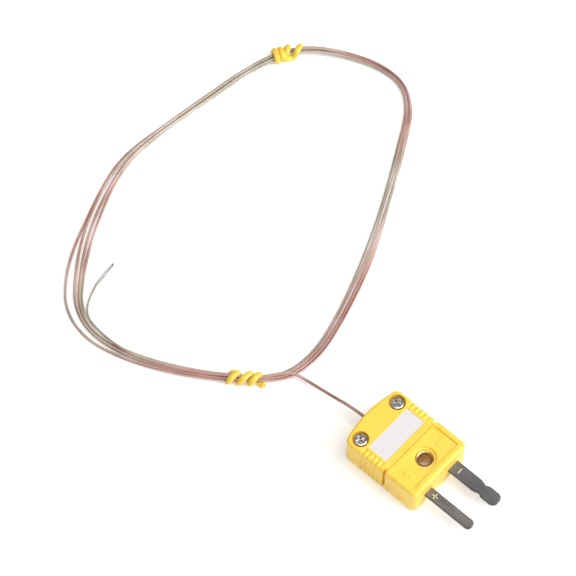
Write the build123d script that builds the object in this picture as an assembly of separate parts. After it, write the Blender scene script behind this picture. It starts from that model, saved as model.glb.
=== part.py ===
"""Thermocouple: a miniature flat-pin plug on a metre of fine duplex lead, wound in a loose coil.

The plug lies on its flat underside. +X points out along the blades, +Z is up, and the origin is the bottom
centre of the plug's bounding box. All sizes are in millimetres.
"""
from build123d import *
from math import cos, pi, radians, sin, tan
import os

# ---------------------------------------------------------------- driving dimensions
BODY_LENGTH = 20.6  # yellow body along X, without the blades
BODY_WIDTH = 16.7
BODY_HEIGHT = 7.9
WALL = 1.3
REAR_WALL = 1.5
SEAM_WALL = 1.0
COVER_TOP_WALL = 1.1
BACK_BULGE = 1.2  # how far the rear face bows out at its middle
REAR_CORNER = 1.6
FRONT_CORNER = 1.2
TOP_EDGE = 0.7
BOTTOM_EDGE = 1.0
SEAM_FROM_FRONT = 8.25  # front block's length, back to the cover
SEAM_GAP = 0.1
COVER_LIFT_GAP = 0.04  # clearance under the cover where it sits on the base
NOTCH_DEPTH = 0.9  # finger notch in each side, at the seam
NOTCH_LENGTH = 0.75

GROOVES = 5  # grip grooves on each side of the cover
GROOVE_PITCH = 1.17
GROOVE_RADIUS = 0.5
GROOVE_DEPTH = 0.2
GROOVE_REACH = 1.5  # how far a groove runs in over the top face
GROOVE_BOTTOM = 1.0
GROOVES_BEHIND_SEAM = 1.95

LABEL_LENGTH = 4.95
LABEL_HALF_WIDTH = 6.1
LABEL_THICKNESS = 0.15
LABEL_WINDOW_DEPTH = 0.25
LABEL_BEHIND_SEAM = 6.6  # from the seam back to the label's rear edge

PANEL_DEPTH = 0.35  # of the recessed panel on the front block
PANEL_FRONT_RIM = 1.4
PANEL_SIDE_RIM = 1.35
PANEL_SEAM_RIM = 0.6
MARK_AHEAD_OF_SEAM = 3.4  # the raised signs on the panel
MARK_SPACING = 10.2
MARK_LENGTH = 2.2
MARK_STROKE = 0.6
MARK_HEIGHT = 0.15
MARK_ROOT = 0.05  # how far a mark reaches down into the panel

BLADE_PITCH = 7.9
BLADE_THICKNESS = 0.8
POSITIVE_WIDTH = 2.4
NEGATIVE_WIDTH = 3.2
POSITIVE_REACH = 12.05  # blade length outside the body
NEGATIVE_REACH = 12.5
WAIST_FROM_TIP = 4.4
WAIST_DEPTH = 0.42
WAIST_LEAD_IN = 1.5  # how slowly the waist narrows towards its narrowest place
WAIST_LEAD_OUT = 0.8
WAIST_SHOULDER_RADIUS = 0.8
WAIST_NECK_RADIUS = 0.25
POSITIVE_TIP_RADIUS = 1.1
NEGATIVE_TIP_RADIUS = 1.4
TIP_CHAMFER = 0.15
TIP_CHAMFER_FROM_FRONT = 9.5  # the chamfer's start, from the body's front face
PAD_SIZE = 4.0  # square terminal pad at a blade's inner end
PAD_CORNER = 0.5
POCKET_HALF_LENGTH = 2.3  # the room for a pad in the base
POCKET_HALF_WIDTH = 2.1
STAMP_FROM_FRONT = 1.9
STAMP_LENGTH = 1.5
STAMP_STROKE = 0.3
STAMP_DEPTH = 0.06

COVER_SCREW_SPACING = 11.6
COVER_SCREW_FROM_BACK = 3.3
COVER_SCREW_SINK = 1.05
COVER_SCREW_HEAD = 1.58
COVER_SCREW_HEAD_HEIGHT = 0.9
COVER_SCREW_TURN = 25  # degrees, the way the two recesses happen to stand
COUNTERBORE_RADIUS = 1.85
BOSS_RADIUS = 2.3
SCREW_RADIUS = 1.0  # M2, both kinds of screw
SCREW_CLEARANCE = 0.05
SCREW_END_CHAMFER = 0.3
HEAD_ROUNDING = 0.45  # share of a head's height
CROSS_ARM = 0.24  # half the width of a slot in a screw's cross recess
CROSS_WELL = (1.6, 2.6)  # the recess's middle, bottom and top radius in widths of CROSS_ARM
CROSS_DEPTH = 0.6  # share of a head's height
CROSS_REACH = 0.66  # share of a head's radius
SCREW_TIP_ROOM = 0.3  # round a terminal screw's tip, under its blade
SCREW_TIP_Z = 2.0
INSERT_RADIUS = 1.6
INSERT_BOTTOM = 1.4
INSERT_BELOW_SPLIT = 0.15
TERMINAL_BEHIND_SEAM = 3.4
TERMINAL_HEAD = 1.7
TERMINAL_HEAD_HEIGHT = 1.1
WASHER_RADIUS = 1.8
WASHER_THICKNESS = 0.35
WASHER_GAP = 0.02  # between the washer and the bare wire

BUSHING_AHEAD_OF_SEAM = 3.65
BUSHING_BELOW_PANEL = 0.35
BUSHING_BORE = 1.3
BUSHING_LIP = 0.55  # radius of the rounding inside the bushing's mouth
BUSHING_BARREL = 1.85
BUSHING_FLANGE = 2.0
BUSHING_FLANGE_THICKNESS = 0.35
BUSHING_EDGE = 0.12
BUSHING_BOTTOM = 3.0
BUSHING_MOUTH = 2.62  # radius of the moulded well that the bushing's lip stands in
MOUTH_CHAMFER = 0.2
CLEARANCE_HOLE = 2.9

GROMMET_FROM_BACK = 1.6  # where the flange meets the barrel
GROMMET_BARREL = 1.15
GROMMET_BARREL_LENGTH = 1.62
GROMMET_FLANGE = 1.7
GROMMET_FLANGE_THICKNESS = 0.6
GROMMET_CLEARANCE = 0.08  # between the grommet and the cover

LEAD_RADIUS = 0.35  # plain round stand-in for a flat 0.75 x 0.45 lead
LEG_RADIUS = 0.19  # one insulated leg
WIRE_RADIUS = 0.125  # bare conductor
BEAD_RADIUS = 0.28
JACKET_END_X = -14.2  # where the lead's jacket stops, inside the plug
LEG_END_X = -9.4  # where a leg's insulation stops
LEG_STRAIGHT = 1.6  # a leg's straight run at each of its ends
LEG_BEND = 0.6
LEG_SPREAD = 0.35  # a leg's distance from the lead's axis after its first run
LEG_RISE = 0.1
HOOK_GAP = 0.1  # between the wire's hook and the screw
HOOK_TURN = 200  # degrees
BEND_SHARE = 0.45  # of the shorter run beside a bend that the cord's arc may use

# ---------------------------------------------------------------- positions worked out from them
OVERALL_LENGTH = BODY_LENGTH + NEGATIVE_REACH
BACK_X = -OVERALL_LENGTH / 2
FRONT_X = BACK_X + BODY_LENGTH
SEAM_X = FRONT_X - SEAM_FROM_FRONT
HALF_WIDTH = BODY_WIDTH / 2
SPLIT_Z = BODY_HEIGHT / 2 + BLADE_THICKNESS / 2  # the cover sits on the blades' upper face
BLADE_Z = SPLIT_Z - BLADE_THICKNESS
SIDES = {"positive": -1, "negative": 1}  # which side of the plug's middle each pole is on
TERMINAL_X = SEAM_X - TERMINAL_BEHIND_SEAM
COVER_SCREW_X = BACK_X + COVER_SCREW_FROM_BACK
COVER_SCREW_SEAT_Z = BODY_HEIGHT - COVER_SCREW_SINK
INSERT_TOP = SPLIT_Z - INSERT_BELOW_SPLIT
FIRST_GROOVE_X = SEAM_X - GROOVES_BEHIND_SEAM - (GROOVES - 1) * GROOVE_PITCH
LABEL_REAR_X = SEAM_X - LABEL_BEHIND_SEAM
BUSHING_X = SEAM_X + BUSHING_AHEAD_OF_SEAM
PANEL_Z = BODY_HEIGHT - PANEL_DEPTH
PANEL_FRONT_X = FRONT_X - PANEL_FRONT_RIM
PANEL_HALF_WIDTH = HALF_WIDTH - PANEL_SIDE_RIM
BUSHING_TOP = PANEL_Z - BUSHING_BELOW_PANEL
BUSHING_SEAT_Z = BUSHING_TOP - BUSHING_FLANGE_THICKNESS
CEILING_Z = BODY_HEIGHT - COVER_TOP_WALL
WASHER_Z = SPLIT_Z + 2 * WIRE_RADIUS + WASHER_GAP
HOOK_RADIUS = SCREW_RADIUS + WIRE_RADIUS + HOOK_GAP

# the loop that the four turns follow, going round from the lower tie:
# x, y, then how far the turns spread to the inside and to the outside of that line
LOOP = [
    (-43.0, -9.2, 0.9, 0.9),
    (-50.2, -14.4, 1.0, 1.0),
    (-58.5, -18.9, 1.0, 1.2),
    (-67.2, -22.1, 1.1, 1.6),
    (-75.4, -23.2, 1.2, 2.2),
    (-82.2, -20.7, 1.5, 3.0),
    (-87.0, -15.4, 2.0, 3.2),
    (-91.6, -9.3, 2.6, 2.2),
    (-95.4, -2.4, 2.8, 1.2),
    (-98.4, 5.2, 2.6, 1.1),
    (-100.3, 12.8, 1.8, 1.0),
    (-100.0, 20.6, 1.2, 1.0),
    (-98.8, 29.5, 1.1, 1.0),
    (-97.3, 38.5, 1.0, 1.0),
    (-95.9, 47.2, 0.9, 0.9),
    (-93.6, 55.4, 0.9, 0.9),
    (-89.7, 61.8, 0.9, 0.9),
    (-83.2, 66.4, 0.9, 0.9),
    (-75.2, 69.9, 1.0, 1.0),
    (-67.6, 70.2, 1.1, 1.1),
    (-62.0, 66.0, 1.2, 1.2),
    (-58.0, 59.6, 1.2, 1.1),
    (-53.4, 51.4, 1.2, 1.1),
    (-49.0, 42.8, 1.2, 1.1),
    (-44.9, 34.2, 1.3, 1.2),
    (-41.2, 25.2, 1.4, 1.3),
    (-38.1, 15.8, 1.4, 1.3),
    (-36.2, 6.4, 1.4, 1.3),
    (-37.2, -2.4, 1.2, 1.1),
]
COIL_HEIGHT = 2.4

# the lead, from inside the rear wall down to the coil
LEAD_ROUTE = [
    (JACKET_END_X, 0.0, SPLIT_Z),
    (-20.0, 0.0, SPLIT_Z),
    (-26.3, -0.3, 2.55),
    (-32.2, -0.4, 0.85),
    (-36.6, -1.6, 1.1),
]

# the free end, from the coil's inner side to where the jacket stops
TAIL_ROUTE = [
    (-76.6, -21.4, 0.4),
    (-79.4, -20.3, 0.4),
    (-81.6, -17.5, 0.4),
    (-82.9, -13.6, 0.4),
]
BEAD_AT = (-83.7, -7.6, 0.3)

TIE_BORE = 1.15
TIE_WALL = 0.66
TIE_LENGTH = 7.7
UPPER_TIE_AT = (-92.0, 58.4)
UPPER_TIE_HEADING = 60.0  # degrees from +X, the way the turns run there
LOWER_TIE_AT = (-43.6, -9.6)
LOWER_TIE_HEADING = 37.0


def cylinder(x, y, bottom, top, radius):
    """A vertical cylinder between two heights."""
    return Pos(x, y, bottom) * extrude(Circle(radius), top - bottom)


def slab(low, high):
    """A box between two corners."""
    size = [b - a for a, b in zip(low, high)]
    return Pos(*low) * Box(*size, align=(Align.MIN, Align.MIN, Align.MIN))


def cross_recess(top, depth, reach):
    """The cutter for a cross-head driver recess, centred on the Z axis."""
    arm = slab((-reach, -CROSS_ARM, top - depth), (reach, CROSS_ARM, top + 1))
    bottom_radius, top_radius = [widths * CROSS_ARM for widths in CROSS_WELL]
    well = Pos(0, 0, top - depth / 2) * Cone(bottom_radius, top_radius, depth)
    return arm + Rot(0, 0, 90) * arm + well


def pan_head_screw(seat, head_radius, head_height, tip):
    """A pan-head screw on the Z axis, its head standing on the height 'seat'."""
    head = extrude(Circle(head_radius), head_height)
    head = fillet(head.edges().group_by(Axis.Z)[-1], head_height * HEAD_ROUNDING)
    shank = cylinder(0, 0, tip, seat, SCREW_RADIUS)
    shank = chamfer(shank.edges().group_by(Axis.Z)[0], SCREW_END_CHAMFER)
    screw = Pos(0, 0, seat) * head + shank
    return screw - cross_recess(seat + head_height, head_height * CROSS_DEPTH, head_radius * CROSS_REACH)


# ---------------------------------------------------------------- plug shells
def body_outline():
    """The body's plan: square sides, rounded corners, and a rear face that bows out."""
    corner_x = BACK_X + BACK_BULGE
    rear = ThreePointArc((corner_x, -HALF_WIDTH), (BACK_X, 0), (corner_x, HALF_WIDTH))
    front = [(corner_x, HALF_WIDTH), (FRONT_X, HALF_WIDTH), (FRONT_X, -HALF_WIDTH), (corner_x, -HALF_WIDTH)]
    plan = make_face(rear + Polyline(*front))
    plan = fillet(plan.vertices().group_by(Axis.X)[0], REAR_CORNER)
    return fillet(plan.vertices().group_by(Axis.X)[-1], FRONT_CORNER)


def grip_channel(x):
    """The cutter for one grip groove on the +Y side: up the wall, round the edge and in over the top."""
    out = GROOVE_RADIUS - GROOVE_DEPTH
    edge_y = HALF_WIDTH - TOP_EDGE
    edge_z = BODY_HEIGHT - TOP_EDGE
    reach = TOP_EDGE + out
    rise = Line((x, HALF_WIDTH + out, GROOVE_BOTTOM), (x, HALF_WIDTH + out, edge_z))
    middle = (x, edge_y + reach * sin(pi / 4), edge_z + reach * cos(pi / 4))
    bend = ThreePointArc(rise @ 1, middle, (x, edge_y, BODY_HEIGHT + out))
    over = Line(bend @ 1, (x, HALF_WIDTH - GROOVE_REACH, BODY_HEIGHT + out))
    ends = [Pos(*(rise @ 0)) * Sphere(GROOVE_RADIUS), Pos(*(over @ 1)) * Sphere(GROOVE_RADIUS)]
    return tube_along(rise + bend + over, GROOVE_RADIUS) + ends


def solid_body():
    """The closed body before it is split into base and cover."""
    body = extrude(body_outline(), BODY_HEIGHT)
    body = fillet(body.edges().group_by(Axis.Z)[-1], TOP_EDGE)
    body = fillet(body.edges().group_by(Axis.Z)[0], BOTTOM_EDGE)
    low = (SEAM_X - NOTCH_LENGTH, HALF_WIDTH - NOTCH_DEPTH, -1)
    notch = slab(low, (SEAM_X, HALF_WIDTH + 1, BODY_HEIGHT + 1))
    cuts = [notch] + [grip_channel(FIRST_GROOVE_X + step * GROOVE_PITCH) for step in range(GROOVES)]
    for cut in cuts:
        body -= [cut, mirror(cut, Plane.XZ)]
    return body


def cover_region():
    """Everything that belongs to the cover: behind the seam and above the split."""
    low = (BACK_X - 1, -HALF_WIDTH - 1, SPLIT_Z + COVER_LIFT_GAP)
    return slab(low, (SEAM_X - SEAM_GAP, HALF_WIDTH + 1, BODY_HEIGHT + 1))


def rear_cavity(floor, ceiling):
    """The terminal chamber between two heights, clear of the screw bosses."""
    half = HALF_WIDTH - WALL
    chamber = slab((BACK_X + REAR_WALL, -half, floor), (SEAM_X - SEAM_WALL, half, ceiling))
    for side in (1, -1):
        y = side * COVER_SCREW_SPACING / 2
        chamber -= cylinder(COVER_SCREW_X, y, floor - 1, ceiling + 1, BOSS_RADIUS)
    return chamber


def grommet_profile(clearance):
    """The grommet's outside, revolved about the lead's axis: a barrel with an inner flange."""
    barrel = cylinder(0, 0, 0, GROMMET_BARREL_LENGTH + clearance, GROMMET_BARREL + clearance)
    flange = cylinder(0, 0, -GROMMET_FLANGE_THICKNESS - clearance, 0, GROMMET_FLANGE + clearance)
    return Pos(BACK_X + GROMMET_FROM_BACK, 0, SPLIT_Z) * Rot(0, -90, 0) * (barrel + flange)


def label_window(bottom, top):
    """The write-on label's rectangle between two heights."""
    low = (LABEL_REAR_X, -LABEL_HALF_WIDTH, bottom)
    return slab(low, (LABEL_REAR_X + LABEL_LENGTH, LABEL_HALF_WIDTH, top))


def cover_shell(body):
    """The rear cover, with its screw seats, label window and terminal chamber."""
    cover = body & cover_region()
    cover -= rear_cavity(SPLIT_Z - 1, CEILING_Z)
    cover -= label_window(BODY_HEIGHT - LABEL_WINDOW_DEPTH, BODY_HEIGHT + 1)
    for side in (1, -1):
        y = side * COVER_SCREW_SPACING / 2
        cover -= cylinder(COVER_SCREW_X, y, COVER_SCREW_SEAT_Z, BODY_HEIGHT + 1, COUNTERBORE_RADIUS)
        cover -= cylinder(COVER_SCREW_X, y, 0, BODY_HEIGHT, SCREW_RADIUS + SCREW_CLEARANCE)
    return cover - grommet_profile(GROMMET_CLEARANCE)


def bushing_seat():
    """The cutter for the through hole: a round well, a seat for the bushing, and a wide hole below it."""
    well = cylinder(BUSHING_X, 0, BUSHING_TOP, BODY_HEIGHT, BUSHING_MOUTH)
    well = chamfer(well.edges().group_by(Axis.Z)[0], MOUTH_CHAMFER)
    seat = cylinder(BUSHING_X, 0, BUSHING_SEAT_Z, BODY_HEIGHT, BUSHING_FLANGE)
    barrel = cylinder(BUSHING_X, 0, 0, BODY_HEIGHT, BUSHING_BARREL)
    return well + seat + barrel + cylinder(BUSHING_X, 0, -1, BUSHING_BOTTOM, CLEARANCE_HOLE)


def base_shell(body, blades):
    """The base: full height at the front block, half height behind it, with seats for the terminals."""
    base = body - slab((BACK_X - 1, -HALF_WIDTH - 1, SPLIT_Z), (SEAM_X, HALF_WIDTH + 1, BODY_HEIGHT + 1))
    chamber = rear_cavity(WALL, SPLIT_Z + 1)
    for side in (1, -1):
        y = side * BLADE_PITCH / 2
        low = (TERMINAL_X - POCKET_HALF_LENGTH, y - POCKET_HALF_WIDTH, 0)
        chamber -= slab(low, (SEAM_X, y + POCKET_HALF_WIDTH, BLADE_Z))
    base -= chamber & slab((BACK_X, -HALF_WIDTH, 0), (SEAM_X, HALF_WIDTH, SPLIT_Z + 1))
    # the panel's recess, with a narrow rim left along the seam
    low = (SEAM_X + PANEL_SEAM_RIM, -PANEL_HALF_WIDTH, PANEL_Z)
    base -= slab(low, (PANEL_FRONT_X, PANEL_HALF_WIDTH, BODY_HEIGHT + 1))
    base -= bushing_seat()
    for side in (1, -1):
        y = side * COVER_SCREW_SPACING / 2
        base -= cylinder(COVER_SCREW_X, y, INSERT_BOTTOM, BODY_HEIGHT, INSERT_RADIUS)
        y = side * BLADE_PITCH / 2
        base -= cylinder(TERMINAL_X, y, WALL, BLADE_Z + 1, SCREW_RADIUS + SCREW_TIP_ROOM)
        base += polarity_mark(side)
    return base - grommet_profile(0) - blades


def polarity_mark(side):
    """A raised plus or minus on the recessed panel."""
    place = Pos(SEAM_X + MARK_AHEAD_OF_SEAM, side * MARK_SPACING / 2, PANEL_Z - MARK_ROOT)
    bar = place * extrude(Rectangle(MARK_STROKE, MARK_LENGTH), MARK_ROOT + MARK_HEIGHT)
    if side == SIDES["negative"]:
        return bar
    return bar + place * extrude(Rectangle(MARK_LENGTH, MARK_STROKE), MARK_ROOT + MARK_HEIGHT)


# ---------------------------------------------------------------- metal parts
def terminal_end():
    """The inner end of a blade in plan: a wide pad with the terminal screw's hole."""
    pad = Pos(TERMINAL_X, 0) * Rectangle(PAD_SIZE, PAD_SIZE)
    return fillet(pad.vertices(), PAD_CORNER)


def positive_plan():
    """The narrow blade: parallel edges and a rounded tip."""
    length = FRONT_X + POSITIVE_REACH - TERMINAL_X
    strip = Pos(TERMINAL_X, 0) * Rectangle(length, POSITIVE_WIDTH, align=(Align.MIN, Align.CENTER))
    return fillet(strip.vertices().group_by(Axis.X)[-1], POSITIVE_TIP_RADIUS) + terminal_end()


def negative_plan():
    """The wide blade: a waist that narrows slowly and opens abruptly, then a rounded tip."""
    half = NEGATIVE_WIDTH / 2
    tip_x = FRONT_X + NEGATIVE_REACH
    waist_x = tip_x - WAIST_FROM_TIP
    waist = [(waist_x - WAIST_LEAD_IN, half), (waist_x, half - WAIST_DEPTH), (waist_x + WAIST_LEAD_OUT, half)]
    edge = [(TERMINAL_X, half)] + waist + [(tip_x, half)]
    plan = make_face(Polyline(*edge, *[(x, -y) for x, y in reversed(edge)], close=True))
    plan = fillet(plan.vertices().group_by(Axis.X)[-1], NEGATIVE_TIP_RADIUS)
    shoulders = [v for v in plan.vertices() if abs(v.X - waist[0][0]) < 0.1 or abs(v.X - waist[2][0]) < 0.1]
    plan = fillet(shoulders, WAIST_SHOULDER_RADIUS)
    neck = [v for v in plan.vertices() if abs(v.X - waist_x) < 0.1]
    return fillet(neck, WAIST_NECK_RADIUS) + terminal_end()


def blade(pole):
    """A flat contact blade, with its sign stamped near the root and its edges eased at the tip."""
    plan = positive_plan() if pole == "positive" else negative_plan()
    y = SIDES[pole] * BLADE_PITCH / 2
    metal = Pos(0, y, BLADE_Z) * extrude(plan, BLADE_THICKNESS)
    chamfer_from = FRONT_X + TIP_CHAMFER_FROM_FRONT
    tip = metal.edges().filter_by(Plane.XY).filter_by(lambda e: e.center().X > chamfer_from)
    metal = chamfer(tip, TIP_CHAMFER)
    metal -= cylinder(TERMINAL_X, y, 0, BODY_HEIGHT, SCREW_RADIUS + SCREW_CLEARANCE)
    stamp_at = Pos(FRONT_X + STAMP_FROM_FRONT, y, SPLIT_Z)
    metal -= stamp_at * Box(STAMP_STROKE, STAMP_LENGTH, 2 * STAMP_DEPTH)
    if pole == "positive":
        metal -= stamp_at * Box(STAMP_LENGTH, STAMP_STROKE, 2 * STAMP_DEPTH)
    return metal


def brass_bushing():
    """The hollow brass bushing in the front block: flange, barrel and a rounded lip."""
    bushing = cylinder(BUSHING_X, 0, BUSHING_BOTTOM, BUSHING_TOP, BUSHING_BARREL)
    bushing += cylinder(BUSHING_X, 0, BUSHING_SEAT_Z, BUSHING_TOP, BUSHING_FLANGE)
    bushing = fillet(bushing.edges().group_by(Axis.Z)[-1], BUSHING_EDGE)
    bushing -= cylinder(BUSHING_X, 0, 0, BODY_HEIGHT, BUSHING_BORE)
    mouth = bushing.edges().filter_by(GeomType.CIRCLE).group_by(Axis.Z)[-1].group_by(SortBy.RADIUS)[0]
    return fillet(mouth, BUSHING_LIP)


def threaded_inserts():
    """The two brass inserts pressed into the base for the cover screws."""
    pair = []
    for side in (1, -1):
        y = side * COVER_SCREW_SPACING / 2
        sleeve = cylinder(COVER_SCREW_X, y, INSERT_BOTTOM, INSERT_TOP, INSERT_RADIUS)
        pair.append(sleeve - cylinder(COVER_SCREW_X, y, 0, BODY_HEIGHT, SCREW_RADIUS + SCREW_CLEARANCE))
    return Compound(children=pair)


def clamp_washer(pole):
    """The flat washer that presses the bare wire onto the blade."""
    y = SIDES[pole] * BLADE_PITCH / 2
    ring = cylinder(TERMINAL_X, y, WASHER_Z, WASHER_Z + WASHER_THICKNESS, WASHER_RADIUS)
    return ring - cylinder(TERMINAL_X, y, 0, BODY_HEIGHT, SCREW_RADIUS + SCREW_CLEARANCE)


def terminal_screw(pole):
    """The screw that clamps one leg of the lead to its blade."""
    seat = WASHER_Z + WASHER_THICKNESS
    screw = pan_head_screw(seat, TERMINAL_HEAD, TERMINAL_HEAD_HEIGHT, SCREW_TIP_Z)
    return Pos(TERMINAL_X, SIDES[pole] * BLADE_PITCH / 2, 0) * screw


def cover_screw(side):
    """One of the two screws that hold the cover down."""
    screw = pan_head_screw(COVER_SCREW_SEAT_Z, COVER_SCREW_HEAD, COVER_SCREW_HEAD_HEIGHT, SCREW_TIP_Z)
    place = Pos(COVER_SCREW_X, side * COVER_SCREW_SPACING / 2, 0)
    return place * Rot(0, 0, side * COVER_SCREW_TURN) * screw


# ---------------------------------------------------------------- lead inside the plug
def cable_grommet():
    """The rubber bush in the rear wall, bored for the lead."""
    bore = Pos(BACK_X, 0, SPLIT_Z) * Rot(0, 90, 0) * Cylinder(LEAD_RADIUS, BODY_LENGTH)
    outside = extrude(body_outline(), BODY_HEIGHT)
    return (grommet_profile(0) - bore) & outside


def tube_along(path, radius):
    """A round tube along a path of runs and arcs."""
    section = Plane(path @ 0, z_dir=path % 0) * Circle(radius)
    return sweep(section, path=path)


def leg_end(pole):
    """The insulated leg from the jacket's end to the terminal."""
    side = SIDES[pole]
    y = side * (BLADE_PITCH / 2 - HOOK_RADIUS)
    z = SPLIT_Z + LEG_RADIUS
    points = [
        (JACKET_END_X, side * LEG_RADIUS, SPLIT_Z),
        (JACKET_END_X + LEG_STRAIGHT, side * LEG_SPREAD, SPLIT_Z + LEG_RISE),
        (LEG_END_X - LEG_STRAIGHT, y, z),
        (LEG_END_X, y, z),
    ]
    return tube_along(FilletPolyline(*points, radius=LEG_BEND), LEG_RADIUS)


def conductor_end(pole):
    """The bare wire: straight out of the leg, then hooked round the terminal screw."""
    side = SIDES[pole]
    centre = Vector(TERMINAL_X, side * BLADE_PITCH / 2, SPLIT_Z + WIRE_RADIUS)

    def on_hook(degrees):
        """A point on the hook, that many degrees on from where the wire meets it."""
        turn = radians(degrees)
        return tuple(centre + Vector(sin(turn), -side * cos(turn)) * HOOK_RADIUS)

    start = on_hook(0)
    straight = Line((LEG_END_X, start[1], start[2]), start)
    hook = ThreePointArc(start, on_hook(HOOK_TURN / 2), on_hook(HOOK_TURN))
    return tube_along(straight + hook, WIRE_RADIUS)


# ---------------------------------------------------------------- lead outside the plug
def cord_path(points):
    """Straight runs joined by arcs as large as the runs allow; prints the arcs' radii."""
    corners = [Vector(*p) for p in points]
    radii = []
    for before, at, after in zip(corners, corners[1:], corners[2:]):
        turn = radians((at - before).get_angle(after - at))
        shorter = min((at - before).length, (after - at).length)
        radii.append(BEND_SHARE * shorter / tan(turn / 2))
    print("cord arc radii", [round(r, 1) for r in radii])
    return FilletPolyline(*points, radius=radii)


def cord_tube(points, radius):
    """A cord's plain tube, with its volume compared with section times length."""
    path = cord_path(points)
    tube = tube_along(path, radius)
    expected = pi * radius**2 * path.length
    print(f"cord tube {path.length:.1f} mm, volume {tube.volume / expected:.3f} of section times length")
    return tube


def coil_edge(outward):
    """The coil's inner or outer outline: the loop's points moved square to the line."""
    count = len(LOOP)
    points = []
    for i, (x, y, inside, outside) in enumerate(LOOP):
        ahead = Vector(*LOOP[(i + 1) % count][:2])
        behind = Vector(*LOOP[i - 1][:2])
        along = (ahead - behind).normalized()
        left = Vector(-along.Y, along.X)
        points.append(Vector(x, y) + left * (outside if outward else -inside))
    return make_face(Spline(*points, periodic=True))


def cord_coil(ties):
    """The outer shape of the four turns, as one closed ring lying on the floor."""
    ring = extrude(coil_edge(True) - coil_edge(False), COIL_HEIGHT)
    return ring - ties


def tie(place, heading):
    """A tie round the turns, as a plain sleeve."""
    outer = TIE_BORE + TIE_WALL
    ring = Circle(outer) - Circle(TIE_BORE)
    sleeve = Pos(-TIE_LENGTH / 2, 0, 0) * Rot(0, 90, 0) * extrude(ring, TIE_LENGTH)
    return Pos(*place, outer) * Rot(0, 0, heading) * sleeve


def tip_wire(side, bead):
    """One bare wire from the jacket's end to the bead."""
    start = Vector(*TAIL_ROUTE[-1])
    end = Vector(*BEAD_AT)
    middle = start * 0.5 + end * 0.5
    offsets = (0.17, 0.25, 0.14)  # of the wire from the line between them: it bows out, then meets the bead
    points = [at + Vector(side * out, 0, 0) for at, out in zip((start, middle, end), offsets)]
    return cord_tube(points, WIRE_RADIUS) - bead


def main():
    """Builds every piece and writes one STEP file for each."""
    body = solid_body()
    blades = {pole: blade(pole) for pole in SIDES}
    label_z = BODY_HEIGHT - LABEL_WINDOW_DEPTH
    upper_tie = tie(UPPER_TIE_AT, UPPER_TIE_HEADING)
    lower_tie = tie(LOWER_TIE_AT, LOWER_TIE_HEADING)
    coil = cord_coil([upper_tie, lower_tie])
    bead = Pos(*BEAD_AT) * Sphere(BEAD_RADIUS)
    pieces = {
        "base_shell": base_shell(body, list(blades.values())),
        "cover_shell": cover_shell(body),
        "write_on_label": label_window(label_z, label_z + LABEL_THICKNESS),
        "brass_bushing": brass_bushing(),
        "threaded_inserts": threaded_inserts(),
        "left_cover_screw": cover_screw(-1),
        "right_cover_screw": cover_screw(1),
        "cable_grommet": cable_grommet(),
        "cord_lead": cord_tube(LEAD_ROUTE, LEAD_RADIUS) - coil,
        "cord_coil": coil,
        "cord_tail": cord_tube(TAIL_ROUTE, LEAD_RADIUS) - coil,
        "positive_tip_wire": tip_wire(-1, bead),
        "negative_tip_wire": tip_wire(1, bead),
        "junction_bead": bead,
        "upper_tie": upper_tie,
        "lower_tie": lower_tie,
    }
    for pole in SIDES:
        pieces[f"{pole}_blade"] = blades[pole]
        pieces[f"{pole}_clamp_washer"] = clamp_washer(pole)
        pieces[f"{pole}_terminal_screw"] = terminal_screw(pole)
        pieces[f"{pole}_leg_end"] = leg_end(pole)
        pieces[f"{pole}_conductor_end"] = conductor_end(pole)
    os.makedirs("parts", exist_ok=True)
    for name, piece in pieces.items():
        export_step(piece, f"parts/{name}.step")


if __name__ == "__main__":
    main()
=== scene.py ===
"""Thermocouple with a miniature flat-pin plug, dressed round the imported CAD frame. All is in metres."""
from math import cos, pi, radians, sin

import bmesh
import bpy
from mathutils import Matrix, Vector


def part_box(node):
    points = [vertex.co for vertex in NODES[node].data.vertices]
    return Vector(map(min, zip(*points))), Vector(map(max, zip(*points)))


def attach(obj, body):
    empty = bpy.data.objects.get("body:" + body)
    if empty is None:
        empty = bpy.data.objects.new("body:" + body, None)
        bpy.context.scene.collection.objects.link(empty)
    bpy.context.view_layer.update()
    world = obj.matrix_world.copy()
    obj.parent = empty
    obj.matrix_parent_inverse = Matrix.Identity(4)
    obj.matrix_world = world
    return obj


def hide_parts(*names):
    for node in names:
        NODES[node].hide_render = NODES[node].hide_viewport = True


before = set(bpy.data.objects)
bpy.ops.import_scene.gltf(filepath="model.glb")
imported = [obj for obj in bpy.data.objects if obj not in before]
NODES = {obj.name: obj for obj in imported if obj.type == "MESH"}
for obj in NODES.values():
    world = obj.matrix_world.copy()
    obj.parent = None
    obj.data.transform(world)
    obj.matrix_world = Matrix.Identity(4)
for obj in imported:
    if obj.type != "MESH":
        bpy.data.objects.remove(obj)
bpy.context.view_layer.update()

# ---------------------------------------------------------------- camera
CAMERA_TARGET = Vector((-0.05157, 0.01385, 0.0))
CAMERA_AZIMUTH = radians(42.22)
CAMERA_ELEVATION = radians(61.29)
CAMERA_DISTANCE = 0.6531
CAMERA_LENS = 187.5  # mm, on a 36 mm sensor

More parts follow.
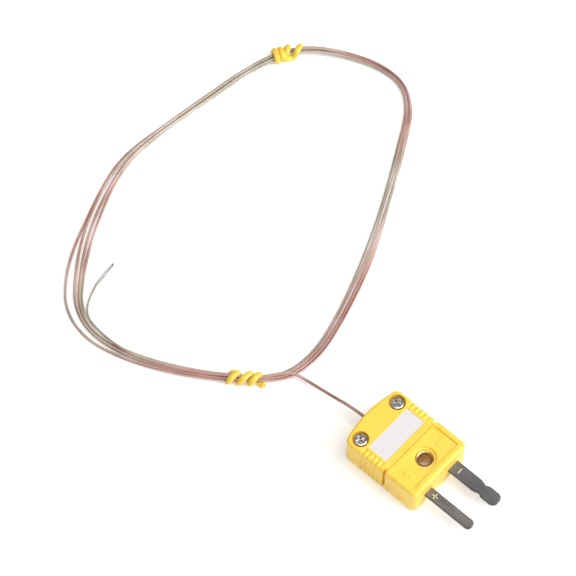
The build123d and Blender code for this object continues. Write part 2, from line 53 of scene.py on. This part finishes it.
# ---------------------------------------------------------------- the lead's size and route
CORD_WIDTH = 0.00075
LEG_RADIUS = 0.000225  # each of the two legs, which lie side by side
LEG_OFFSET = CORD_WIDTH / 2 - LEG_RADIUS
FLOOR_LAYER = 0.00037  # height of a turn that lies on the floor
NEXT_LAYER = 0.00046  # how much higher a turn lies on another
TIE_HEIGHT = 0.0015  # height of the bundle's middle where a tie lifts it
TIE_REACH = 0.030  # how far along the bundle that lift can be seen
TIE_FLAT = 0.004  # how far the bundle stays fully lifted, each way from a tie
OUTER_LANE_INSET = 0.00047  # of an outermost turn's middle from the bundle's edge
MIDDLE_LANE = 0.00040  # of the two middle turns from the loop's line
TIGHT_SPREAD = 0.0022  # total spread up to which the turns lie on each other, and the rise to fully loose
STRAIGHT_START = 0.020  # how far out of the plug the lead's twist starts
TWIST_IN = 0.030  # how long the twist takes to come in
# painted shade on the lead: its colour is made darker towards the plug, between these two X values
PLUG_SHADE_X = (-0.041, -0.028)  # where the lead starts to darken towards the plug, and where it is darkest
# the tint of that painted shade
PLUG_SHADE_TINT = (0.70, 0.60, 0.59, 1)

# from the grommet down to the coil
LEAD_ROUTE = [
    (-0.0142, 0.0, 0.00435),
    (-0.0200, 0.0, 0.00435),
    (-0.0263, -0.0003, 0.00255),
    (-0.0322, -0.0004, 0.00105),
    (-0.0364, -0.0014, 0.0018),
    (-0.0393, -0.0053, 0.0023),
]

# the line that each turn follows, from the lower tie: x, y, then the spread inwards and outwards
LOOP = [
    (-0.0430, -0.0092, 0.0009, 0.0009),
    (-0.0502, -0.0144, 0.0010, 0.0010),
    (-0.0585, -0.0189, 0.0010, 0.0012),
    (-0.0672, -0.0221, 0.0011, 0.0016),
    (-0.0754, -0.0232, 0.0012, 0.0022),
    (-0.0822, -0.0207, 0.0015, 0.0030),
    (-0.0870, -0.0154, 0.0017, 0.0032),
    (-0.0916, -0.0093, 0.0020, 0.0022),
    (-0.0954, -0.0024, 0.0021, 0.0012),
    (-0.0984, 0.0052, 0.0020, 0.0011),
    (-0.1003, 0.0128, 0.0017, 0.0010),
    (-0.1000, 0.0206, 0.0013, 0.0010),
    (-0.0988, 0.0295, 0.0011, 0.0010),
    (-0.0973, 0.0385, 0.0010, 0.0010),
    (-0.0959, 0.0472, 0.0009, 0.0009),
    (-0.0936, 0.0554, 0.0009, 0.0009),
    (-0.0897, 0.0618, 0.0009, 0.0009),
    (-0.0832, 0.0664, 0.0009, 0.0009),
    (-0.0752, 0.0699, 0.0010, 0.0010),
    (-0.0676, 0.0702, 0.0011, 0.0011),
    (-0.0620, 0.0660, 0.0012, 0.0012),
    (-0.0580, 0.0596, 0.0012, 0.0011),
    (-0.0534, 0.0514, 0.0012, 0.0011),
    (-0.0490, 0.0428, 0.0012, 0.0011),
    (-0.0449, 0.0342, 0.0013, 0.0012),
    (-0.0412, 0.0252, 0.0014, 0.0013),
    (-0.0381, 0.0158, 0.0014, 0.0013),
    (-0.0357, 0.0062, 0.0013, 0.0013),
    (-0.0365, -0.0030, 0.0012, 0.0012),
]
TURNS = 4
LAST_PASS = 4  # LOOP points that the lead follows once more before it leaves the coil

# the free end, on the coil's inner side
TAIL_ROUTE = [
    (-0.0766, -0.0214, 0.0005),
    (-0.0794, -0.0203, 0.0004),
    (-0.0816, -0.0175, 0.0004),
    (-0.0829, -0.0136, 0.0004),
]

TIE_HALF_THICKNESS = 0.00052  # of the coated wire, which is wider where it is pressed flat
CORE_RADIUS = 0.00021  # of the steel core
CORE_PROUD = 0.00004  # how far the core stands out of each cut end

# the twist ties: where each one's middle is, which way the bundle runs there, and the coated wire's line from
# end to end, as distances along the bundle, across it and up
UPPER_TIE_AT = Vector((-0.0920, 0.0584, TIE_HEIGHT))
UPPER_TIE_HEADING = radians(60)
UPPER_TIE_HALF_WIDTH = 0.00070
UPPER_TIE_ROUTE = [
    (-0.0026, 0.0006, -0.00085),
    (-0.0030, -0.0011, -0.00085),
    (-0.00285, -0.0012, 0.00125),
    (-0.0030, 0.0017, 0.00125),
    (-0.0030, 0.0017, -0.00085),
    (-0.0022, -0.0011, -0.00085),
    (-0.0016, -0.0011, 0.0012),
    (-0.0016, 0.0015, 0.0012),
    (-0.0015, 0.0015, -0.00085),
    (-0.0004, -0.0011, -0.00085),
    (0.00045, -0.0011, 0.0012),
    (-0.0003, 0.0004, 0.0013),
    (-0.00115, 0.0013, 0.0003),
    (0.0001, 0.0015, -0.0006),
    (0.0011, 0.0014, -0.0004),
    (0.0018, 0.0010, 0.0012),
    (0.0029, 0.0000, 0.0012),
    (0.0031, -0.0004, 0.0008),
]
LOWER_TIE_AT = Vector((-0.0436, -0.0096, TIE_HEIGHT))
LOWER_TIE_HEADING = radians(37)
LOWER_TIE_HALF_WIDTH = 0.00072
LOWER_TIE_ROUTE = [
    (-0.0016, -0.0009, 0.0007),
    (-0.0022, -0.0011, 0.0001),
    (-0.0027, -0.0009, -0.0009),
    (-0.0029, 0.0010, -0.0009),
    (-0.0026, 0.0011, 0.0009),
    (-0.0008, -0.0010, 0.0011),
    (-0.0009, -0.0010, -0.0009),
    (-0.0007, 0.0011, -0.0009),
    (-0.0001, 0.0011, 0.0009),
    (0.0019, -0.0010, 0.0011),
    (0.0020, -0.0010, -0.0009),
    (0.0017, 0.0011, -0.0009),
    (0.0022, 0.0011, 0.0009),
    (0.0037, -0.0009, 0.0011),
    (0.0039, -0.0010, -0.0009),
    (0.0038, 0.0003, -0.0009),
    (0.0043, 0.0009, -0.0008),
    (0.0049, 0.0012, -0.0004),
]


# ---------------------------------------------------------------- materials
def principled(name, values):
    """A material with its Principled shader's constant sockets set; returns it, its tree and the shader."""
    made = bpy.data.materials.new(name)
    made.use_nodes = True
    shader = made.node_tree.nodes["Principled BSDF"]
    for socket, value in values.items():
        shader.inputs[socket].default_value = value
    return made, made.node_tree, shader


def noise(tree, scale, detail=3.0, stretch=(1, 1, 1)):
    """Noise in object space, 'scale' grains to a metre, with the space stretched first."""
    where = tree.nodes.new("ShaderNodeTexCoord")
    mapping = tree.nodes.new("ShaderNodeMapping")
    mapping.inputs["Scale"].default_value = stretch
    texture = tree.nodes.new("ShaderNodeTexNoise")
    texture.inputs["Scale"].default_value = scale
    texture.inputs["Detail"].default_value = detail
    tree.links.new(where.outputs["Object"], mapping.inputs["Vector"])
    tree.links.new(mapping.outputs["Vector"], texture.inputs["Vector"])
    return texture.outputs["Fac"]


def ramp(tree, source, stops, target):
    """Colours a 0 to 1 value by (position, colour) stops and feeds the result to a socket."""
    node = tree.nodes.new("ShaderNodeValToRGB")
    elements = node.color_ramp.elements
    while len(elements) < len(stops):
        elements.new(0.5)
    for element, (position, colour) in zip(elements, stops):
        element.position = position
        element.color = (*colour, 1)
    tree.links.new(source, node.inputs["Fac"])
    tree.links.new(node.outputs["Color"], target)
    return node.outputs["Color"]


def spread(tree, source, low, high, target):
    """Stretches a noise's middle range to low..high and feeds it to a socket."""
    node = tree.nodes.new("ShaderNodeMapRange")
    node.inputs["From Min"].default_value = 0.3
    node.inputs["From Max"].default_value = 0.7
    node.inputs["To Min"].default_value = low
    node.inputs["To Max"].default_value = high
    tree.links.new(source, node.inputs["Value"])
    tree.links.new(node.outputs["Result"], target)


def bump(tree, shader, source, strength, depth):
    """Turns a height value into a bump of that depth in metres."""
    node = tree.nodes.new("ShaderNodeBump")
    node.inputs["Strength"].default_value = strength
    node.inputs["Distance"].default_value = depth
    tree.links.new(source, node.inputs["Height"])
    tree.links.new(node.outputs["Normal"], shader.inputs["Normal"])


def moulded_yellow():
    """Satin yellow plastic: a faint mottle, and the fine grain of the mould."""
    made, tree, shader = principled("moulded_yellow", {"IOR": 1.5, "Subsurface Weight": 0.06})
    shader.inputs["Subsurface Radius"].default_value = (0.001, 0.0007, 0.0002)
    stops = [(0.3, (0.93, 0.60, 0.06)), (0.5, (0.96, 0.645, 0.075)), (0.72, (0.98, 0.67, 0.09))]
    ramp(tree, noise(tree, 260), stops, shader.inputs["Base Color"])
    spread(tree, noise(tree, 900), 0.30, 0.44, shader.inputs["Roughness"])
    bump(tree, shader, noise(tree, 5200, 2), 0.25, 0.00003)
    return made


def label_card():
    """Matt off-white card with a fibrous grain."""
    made, tree, shader = principled("label_card", {"Specular IOR Level": 0.25})
    grain = noise(tree, 2600, 4, (1, 0.35, 1))
    ramp(tree, grain, [(0.3, (0.70, 0.665, 0.67)), (0.7, (0.745, 0.71, 0.715))], shader.inputs["Base Color"])
    spread(tree, noise(tree, 1800), 0.72, 0.9, shader.inputs["Roughness"])
    bump(tree, shader, grain, 0.3, 0.00002)
    return made


def rolled_alloy(name, dark, light):
    """Dull rolled strip: grain drawn out along the blade, with a few darker streaks."""
    made, tree, shader = principled(name, {"Metallic": 1.0})
    grain = noise(tree, 2400, 5, (0.06, 1, 1))
    ramp(tree, noise(tree, 500, 4, (0.25, 1, 1)), [(0.32, dark), (0.68, light)], shader.inputs["Base Color"])
    spread(tree, grain, 0.28, 0.46, shader.inputs["Roughness"])
    bump(tree, shader, grain, 0.25, 0.00001)
    return made


def turned_brass(name):
    """Brass with the tool marks of turning about a vertical axis."""
    made, tree, shader = principled(name, {"Metallic": 1.0})
    stops = [(0.3, (0.54, 0.31, 0.11)), (0.7, (0.76, 0.48, 0.20))]
    ramp(tree, noise(tree, 900), stops, shader.inputs["Base Color"])
    marks = noise(tree, 1500, 3, (0.1, 0.1, 4))
    spread(tree, marks, 0.2, 0.36, shader.inputs["Roughness"])
    bump(tree, shader, marks, 0.25, 0.00001)
    return made


def nickel_plate():
    """Bright plated steel with small scuffs."""
    made, tree, shader = principled("nickel_plate", {"Metallic": 1.0})
    scuffs = noise(tree, 2500, 5)
    ramp(tree, scuffs, [(0.35, (0.36, 0.31, 0.30)), (0.6, (0.80, 0.74, 0.70))], shader.inputs["Base Color"])
    spread(tree, scuffs, 0.16, 0.34, shader.inputs["Roughness"])
    bump(tree, shader, noise(tree, 6000, 2), 0.15, 0.00001)
    return made


def soft_rubber():
    """Matt brown rubber."""
    made, tree, shader = principled("soft_rubber", {"Specular IOR Level": 0.3})
    stops = [(0.3, (0.06, 0.035, 0.02)), (0.7, (0.12, 0.07, 0.04))]
    ramp(tree, noise(tree, 1500), stops, shader.inputs["Base Color"])
    spread(tree, noise(tree, 2500), 0.6, 0.8, shader.inputs["Roughness"])
    bump(tree, shader, noise(tree, 5000), 0.3, 0.00002)
    return made


def painted_shade_by_plug(tree, colour, target):
    """Painted shade: multiplies a colour by a darker tint towards the plug, by the frame's X."""
    where = tree.nodes.new("ShaderNodeTexCoord")
    axes = tree.nodes.new("ShaderNodeSeparateXYZ")
    share = tree.nodes.new("ShaderNodeMapRange")
    share.inputs["From Min"].default_value = PLUG_SHADE_X[0]
    share.inputs["From Max"].default_value = PLUG_SHADE_X[1]
    mix = tree.nodes.new("ShaderNodeMixRGB")
    mix.blend_type = "MULTIPLY"
    mix.inputs["Color2"].default_value = PLUG_SHADE_TINT
    tree.links.new(where.outputs["Object"], axes.inputs["Vector"])
    tree.links.new(axes.outputs["X"], share.inputs["Value"])
    tree.links.new(share.outputs["Result"], mix.inputs["Fac"])
    tree.links.new(colour, mix.inputs["Color1"])
    tree.links.new(mix.outputs["Color"], target)


def leg_jacket(name, stops):
    """One leg of the lead: tinted insulation seen through a glossy clear film, with painted shade darkening
    it towards the plug.
    """
    made, tree, shader = principled(name, {"Coat Weight": 0.8, "Coat Roughness": 0.06, "Coat IOR": 1.4})
    tint = ramp(tree, noise(tree, 130, 2), stops, shader.inputs["Base Color"])
    # painted shade: the jacket's colour is darkened towards the plug
    painted_shade_by_plug(tree, tint, shader.inputs["Base Color"])
    spread(tree, noise(tree, 1700), 0.32, 0.5, shader.inputs["Roughness"])
    bump(tree, shader, noise(tree, 2200), 0.3, 0.00003)
    return made


def drawn_wire():
    """Bare drawn thermocouple alloy, slightly oxidised."""
    made, tree, shader = principled("drawn_wire", {"Metallic": 1.0})
    stops = [(0.3, (0.24, 0.23, 0.22)), (0.7, (0.46, 0.45, 0.44))]
    ramp(tree, noise(tree, 2200), stops, shader.inputs["Base Color"])
    spread(tree, noise(tree, 4000), 0.3, 0.5, shader.inputs["Roughness"])
    bump(tree, shader, noise(tree, 9000), 0.3, 0.00001)
    return made


def tie_coating():
    """Soft yellow coating of the tie wire, lightly dimpled."""
    made, tree, shader = principled("tie_coating", {"Coat Weight": 0.25, "Coat Roughness": 0.2})
    stops = [(0.3, (0.84, 0.54, 0.045)), (0.52, (0.91, 0.62, 0.07)), (0.7, (0.95, 0.68, 0.10))]
    ramp(tree, noise(tree, 700), stops, shader.inputs["Base Color"])
    spread(tree, noise(tree, 1500), 0.34, 0.52, shader.inputs["Roughness"])
    bump(tree, shader, noise(tree, 1600, 4), 0.5, 0.00006)
    return made


def sign_filling():
    """Pale, slightly worn paint in a stamped sign."""
    made, tree, shader = principled("sign_filling", {"Specular IOR Level": 0.3})
    worn = noise(tree, 5200, 4)
    ramp(tree, worn, [(0.35, (0.42, 0.36, 0.28)), (0.55, (0.72, 0.64, 0.50))], shader.inputs["Base Color"])
    spread(tree, worn, 0.5, 0.7, shader.inputs["Roughness"])
    bump(tree, shader, worn, 0.3, 0.00001)
    return made


def pale_floor():
    """The studio's white floor, softly lit from below as a light table is."""
    made, tree, shader = principled("pale_floor", {"Roughness": 0.9, "Specular IOR Level": 0.1})
    shader.inputs["Emission Color"].default_value = (1, 1, 1, 1)
    shader.inputs["Emission Strength"].default_value = FLOOR_GLOW
    stops = [(0.3, (0.94, 0.94, 0.94)), (0.7, (0.96, 0.96, 0.96))]
    ramp(tree, noise(tree, 3), stops, shader.inputs["Base Color"])
    return made


# ---------------------------------------------------------------- building blocks
def nurbs_line(points):
    """The points along one smooth NURBS line that has these as its control points."""
    curve = bpy.data.curves.new("line", "CURVE")
    curve.dimensions = "3D"
    curve.resolution_u = 14
    spline = curve.splines.new("NURBS")
    spline.points.add(len(points) - 1)
    for at, point in zip(spline.points, points):
        at.co = (*point, 1)
    spline.order_u = 3
    spline.use_endpoint_u = True
    carrier = bpy.data.objects.new("line", curve)
    line = bpy.data.meshes.new_from_object(carrier)
    path = [v.co.copy() for v in line.vertices]
    bpy.data.objects.remove(carrier)
    bpy.data.meshes.remove(line)
    bpy.data.curves.remove(curve)
    return path


def distances(path):
    """How far along the path each of its points is."""
    out = [0.0]
    for a, b in zip(path, path[1:]):
        out.append(out[-1] + (b - a).length)
    return out


def piece(name, mesh, materials, body="plug", replaces=()):
    """A finished visual piece: linked, dressed, riding on its body."""
    made = bpy.data.objects.new(name, mesh)
    bpy.context.scene.collection.objects.link(made)
    for material in materials:
        mesh.materials.append(material)
    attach(made, body)
    if replaces:
        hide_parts(*replaces)
    return made


def swept_mesh(name, path, section, roll=None, materials=None):
    """A closed tube: 'section' (points across and up) carried along a path, with its 'across' kept level.

    roll gives the section's turn at a distance along the path, and materials each side face's slot.
    """
    made = bmesh.new()
    along = distances(path)
    rings = []
    across = None
    for i, at in enumerate(path):
        ahead = path[min(i + 1, len(path) - 1)] - path[max(i - 1, 0)]
        ahead.normalize()
        level = Vector((-ahead.y, ahead.x, 0)).normalized()
        across = -level if across and level.dot(across) < 0 else level
        up = ahead.cross(across)
        turn = roll(along[i]) if roll else 0.0
        ring = []
        for u, v in section:
            side = u * cos(turn) - v * sin(turn)
            rise = u * sin(turn) + v * cos(turn)
            ring.append(made.verts.new(at + across * side + up * rise))
        rings.append(ring)
    count = len(section)
    for a, b in zip(rings, rings[1:]):
        for j in range(count):
            face = made.faces.new((a[j], a[(j + 1) % count], b[(j + 1) % count], b[j]))
            face.smooth = True
            face.material_index = materials[j] if materials else 0
    made.faces.new(rings[0])
    made.faces.new(rings[-1])
    bmesh.ops.recalc_face_normals(made, faces=made.faces)
    mesh = bpy.data.meshes.new(name)
    made.to_mesh(mesh)
    made.free()
    return mesh


def oval_section(half_width, half_height, sides=18):
    """An ellipse's points, across and up."""
    turns = [2 * pi * k / sides for k in range(sides)]
    return [(half_width * cos(turn), half_height * sin(turn)) for turn in turns]


# ---------------------------------------------------------------- the lead
def smooth_step(share):
    """0 below 0, 1 above 1, and an S between."""
    share = min(max(share, 0.0), 1.0)
    return share * share * (3 - 2 * share)


def lift(x, y):
    """How much the nearest tie raises the bundle above the floor."""
    nearest = min((Vector((x, y)) - tie.xy).length for tie in (UPPER_TIE_AT, LOWER_TIE_AT))
    full = TIE_HEIGHT - FLOOR_LAYER - NEXT_LAYER / 2
    return full * (1 - smooth_step((nearest - TIE_FLAT) / (TIE_REACH - TIE_FLAT)))


def turn_point(turn, index):
    """One control point of one turn: its lane across the bundle and its layer."""
    x, y, inside, outside = LOOP[index]
    ahead = Vector(LOOP[(index + 1) % len(LOOP)][:2]) - Vector(LOOP[index - 1][:2])
    outward = Vector((-ahead.y, ahead.x)).normalized()
    wander = 0.00011 * sin(1.7 * turn + 0.83 * index) + 0.00007 * sin(2.9 * turn + 1.9 * index)
    fan = 0.3 * (inside - 0.0009)
    outermost = outside - OUTER_LANE_INSET
    innermost = OUTER_LANE_INSET - inside
    lane = (outermost, MIDDLE_LANE, -MIDDLE_LANE - fan, innermost, 0.0)[turn] + wander
    loose = smooth_step((inside + outside - TIGHT_SPREAD) / TIGHT_SPREAD)
    layer = (0.0, 1 - loose, 1 - 0.7 * loose, 0.0, 2.0)[turn]
    at = Vector((x, y)) + outward * lane
    return (at.x, at.y, FLOOR_LAYER + layer * NEXT_LAYER + lift(x, y))


def cord_route():
    """Every control point of the lead, from inside the plug to the end of its jacket."""
    points = list(LEAD_ROUTE)
    for turn in range(TURNS):
        points += [turn_point(turn, index) for index in range(len(LOOP))]
    points += [turn_point(TURNS, index) for index in range(LAST_PASS)]
    return points + TAIL_ROUTE


def cord_roll(distance):
    """The slow twist of the flat lead as it lies, which starts some way out of the plug."""
    wave = distance * 2 * pi
    twist = radians(56) * sin(wave / 0.083) + radians(26) * sin(wave / 0.049 + 1.3)
    return twist * smooth_step((distance - STRAIGHT_START) / TWIST_IN)


def duplex_section():
    """The flat lead's outline, two lobes joined at a waist, and each side's material slot."""
    lobe = [radians(a) for a in range(-120, 121, 24)]
    right = [(LEG_OFFSET + LEG_RADIUS * cos(a), LEG_RADIUS * sin(a)) for a in lobe]
    left = [(-u, -v) for u, v in right]
    return right + left, [0] * len(right) + [1] * len(left)


def lead(red_leg, khaki_leg):
    """The whole lead as one flat duplex tube; returns the piece and its centre-line."""
    path = nurbs_line(cord_route())
    section, slots = duplex_section()
    mesh = swept_mesh("duplex_lead", path, section, cord_roll, slots)
    replaced = ("cord_lead", "cord_coil", "cord_tail")
    made = piece("duplex_lead", mesh, [red_leg, khaki_leg], replaces=replaced)
    return made, path


def twist_tie(name, at, heading, half_width, route, materials, replaced):
    """A coated wire wound round the bundle, with its steel core showing at both cut ends."""
    turn = Matrix.Rotation(heading, 3, "Z")
    path = nurbs_line([at + turn @ Vector((along, -across, up)) for along, across, up in route])
    coat = swept_mesh(name, path, oval_section(half_width, TIE_HALF_THICKNESS))
    core = [path[0] + (path[0] - path[1]).normalized() * CORE_PROUD] + path
    core.append(path[-1] + (path[-1] - path[-2]).normalized() * CORE_PROUD)
    wire = swept_mesh(name + "_core", core, oval_section(CORE_RADIUS, CORE_RADIUS, 10))
    made = piece(name, coat, [materials[0]], replaces=[replaced])
    inside = piece(name + "_core", wire, [materials[1]])
    return [made, inside]


# ---------------------------------------------------------------- signs on the blades
STAMP_FROM_FACE = 0.0019  # from the body's front face to the middle of a sign
STAMP_LENGTH = 0.00145
STAMP_WIDTH = 0.00028
STAMP_DEPTH = 0.00005  # how far its filling reaches into the blade


def sign(name, blade, turns, filling):
    """A plus or minus inlaid in a blade's upper face: one bar for each of the turns, in degrees."""
    low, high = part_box(blade)
    middle = Vector((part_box("base_shell")[1][0] + STAMP_FROM_FACE, (low[1] + high[1]) / 2, high[2]))
    made = bmesh.new()
    for degrees in turns:
        place = Matrix.Translation(middle) @ Matrix.Rotation(radians(degrees), 4, "Z")
        shape = place @ Matrix.Diagonal((STAMP_LENGTH, STAMP_WIDTH, 2 * STAMP_DEPTH, 1))
        bmesh.ops.create_cube(made, size=1, matrix=shape)
    bmesh.ops.bevel(made, geom=made.edges[:], offset=STAMP_DEPTH / 2, segments=2, affect="EDGES")
    mesh = bpy.data.meshes.new(name)
    made.to_mesh(mesh)
    made.free()
    return piece(name, mesh, [filling])


# ---------------------------------------------------------------- stage
# each light's name, place, diameter and power in watts
LIGHTS = [
    ("key", (0.75, 0.40, 0.62), 0.7, 8.5),
    ("overhead", (0.20, 0.03, 1.0), 0.9, 6.5),
]
SKY = 0.30
FLOOR_GLOW = 0.22


def studio():
    """The camera, the floor and the soft lights."""
    scene = bpy.context.scene
    level = Vector((sin(CAMERA_AZIMUTH), -cos(CAMERA_AZIMUTH), 0))
    back = level * cos(CAMERA_ELEVATION) + Vector((0, 0, sin(CAMERA_ELEVATION)))
    camera = bpy.data.objects.new("camera", bpy.data.cameras.new("camera"))
    camera.data.lens = CAMERA_LENS
    camera.data.sensor_width = 36
    camera.data.clip_end = 10
    camera.location = CAMERA_TARGET + back * CAMERA_DISTANCE
    camera.rotation_euler = (pi / 2 - CAMERA_ELEVATION, 0, CAMERA_AZIMUTH)
    scene.collection.objects.link(camera)
    scene.camera = camera

    made = bmesh.new()
    bmesh.ops.create_grid(made, x_segments=8, y_segments=8, size=3)
    floor_mesh = bpy.data.meshes.new("floor")
    made.to_mesh(floor_mesh)
    made.free()
    floor = bpy.data.objects.new("floor", floor_mesh)
    floor_mesh.materials.append(pale_floor())
    scene.collection.objects.link(floor)

    for name, place, size, energy in LIGHTS:
        light = bpy.data.lights.new(name, "AREA")
        light.shape = "DISK"
        light.size = size
        light.energy = energy
        lamp = bpy.data.objects.new(name, light)
        lamp.location = place
        lamp.rotation_euler = (CAMERA_TARGET - Vector(place)).to_track_quat("-Z", "Y").to_euler()
        scene.collection.objects.link(lamp)

    world = bpy.data.worlds.new("studio")
    world.use_nodes = True
    world.node_tree.nodes["Background"].inputs["Color"].default_value = (1, 1, 1, 1)
    world.node_tree.nodes["Background"].inputs["Strength"].default_value = SKY
    scene.world = world
    scene.view_settings.view_transform = "Standard"


def dress(nodes, material):
    """Puts one material on CAD nodes."""
    for name in nodes:
        slots = NODES[name].data.materials
        slots.clear()
        slots.append(material)


def main():
    """Everything, in the order: stage, lead, ties, CAD nodes, signs."""
    studio()
    wire = drawn_wire()
    red_stops = [(0.3, (0.38, 0.17, 0.14)), (0.5, (0.48, 0.25, 0.21)), (0.7, (0.60, 0.37, 0.34))]
    red_leg = leg_jacket("red_leg", red_stops)
    khaki_stops = [(0.3, (0.36, 0.32, 0.23)), (0.5, (0.47, 0.43, 0.33)), (0.7, (0.59, 0.54, 0.47))]
    khaki_leg = leg_jacket("khaki_leg", khaki_stops)
    tie_materials = (tie_coating(), wire)
    cord, centre_line = lead(red_leg, khaki_leg)
    ties = twist_tie(
        "upper_twist_tie",
        UPPER_TIE_AT,
        UPPER_TIE_HEADING,
        UPPER_TIE_HALF_WIDTH,
        UPPER_TIE_ROUTE,
        tie_materials,
        "upper_tie",
    )
    ties += twist_tie(
        "lower_twist_tie",
        LOWER_TIE_AT,
        LOWER_TIE_HEADING,
        LOWER_TIE_HALF_WIDTH,
        LOWER_TIE_ROUTE,
        tie_materials,
        "lower_tie",
    )
    dress(["positive_tip_wire", "negative_tip_wire", "junction_bead"], wire)
    yellow = moulded_yellow()
    dress(["base_shell", "cover_shell"], yellow)
    dress(["write_on_label"], label_card())
    dress(["positive_blade"], rolled_alloy("positive_alloy", (0.17, 0.155, 0.145), (0.24, 0.22, 0.205)))
    dress(["negative_blade"], rolled_alloy("negative_alloy", (0.145, 0.14, 0.14), (0.21, 0.20, 0.20)))
    brass = turned_brass("turned_brass")
    dress(["brass_bushing", "threaded_inserts"], brass)
    plate = nickel_plate()
    dress(["left_cover_screw", "right_cover_screw"], plate)
    dress(["positive_terminal_screw", "negative_terminal_screw"], plate)
    dress(["positive_clamp_washer", "negative_clamp_washer"], plate)
    dress(["cable_grommet"], soft_rubber())
    dress(["positive_leg_end"], khaki_leg)
    dress(["negative_leg_end"], red_leg)
    dress(["positive_conductor_end", "negative_conductor_end"], wire)
    filling = sign_filling()
    sign("positive_sign", "positive_blade", (0, 90), filling)
    sign("negative_sign", "negative_blade", (90,), filling)


main()
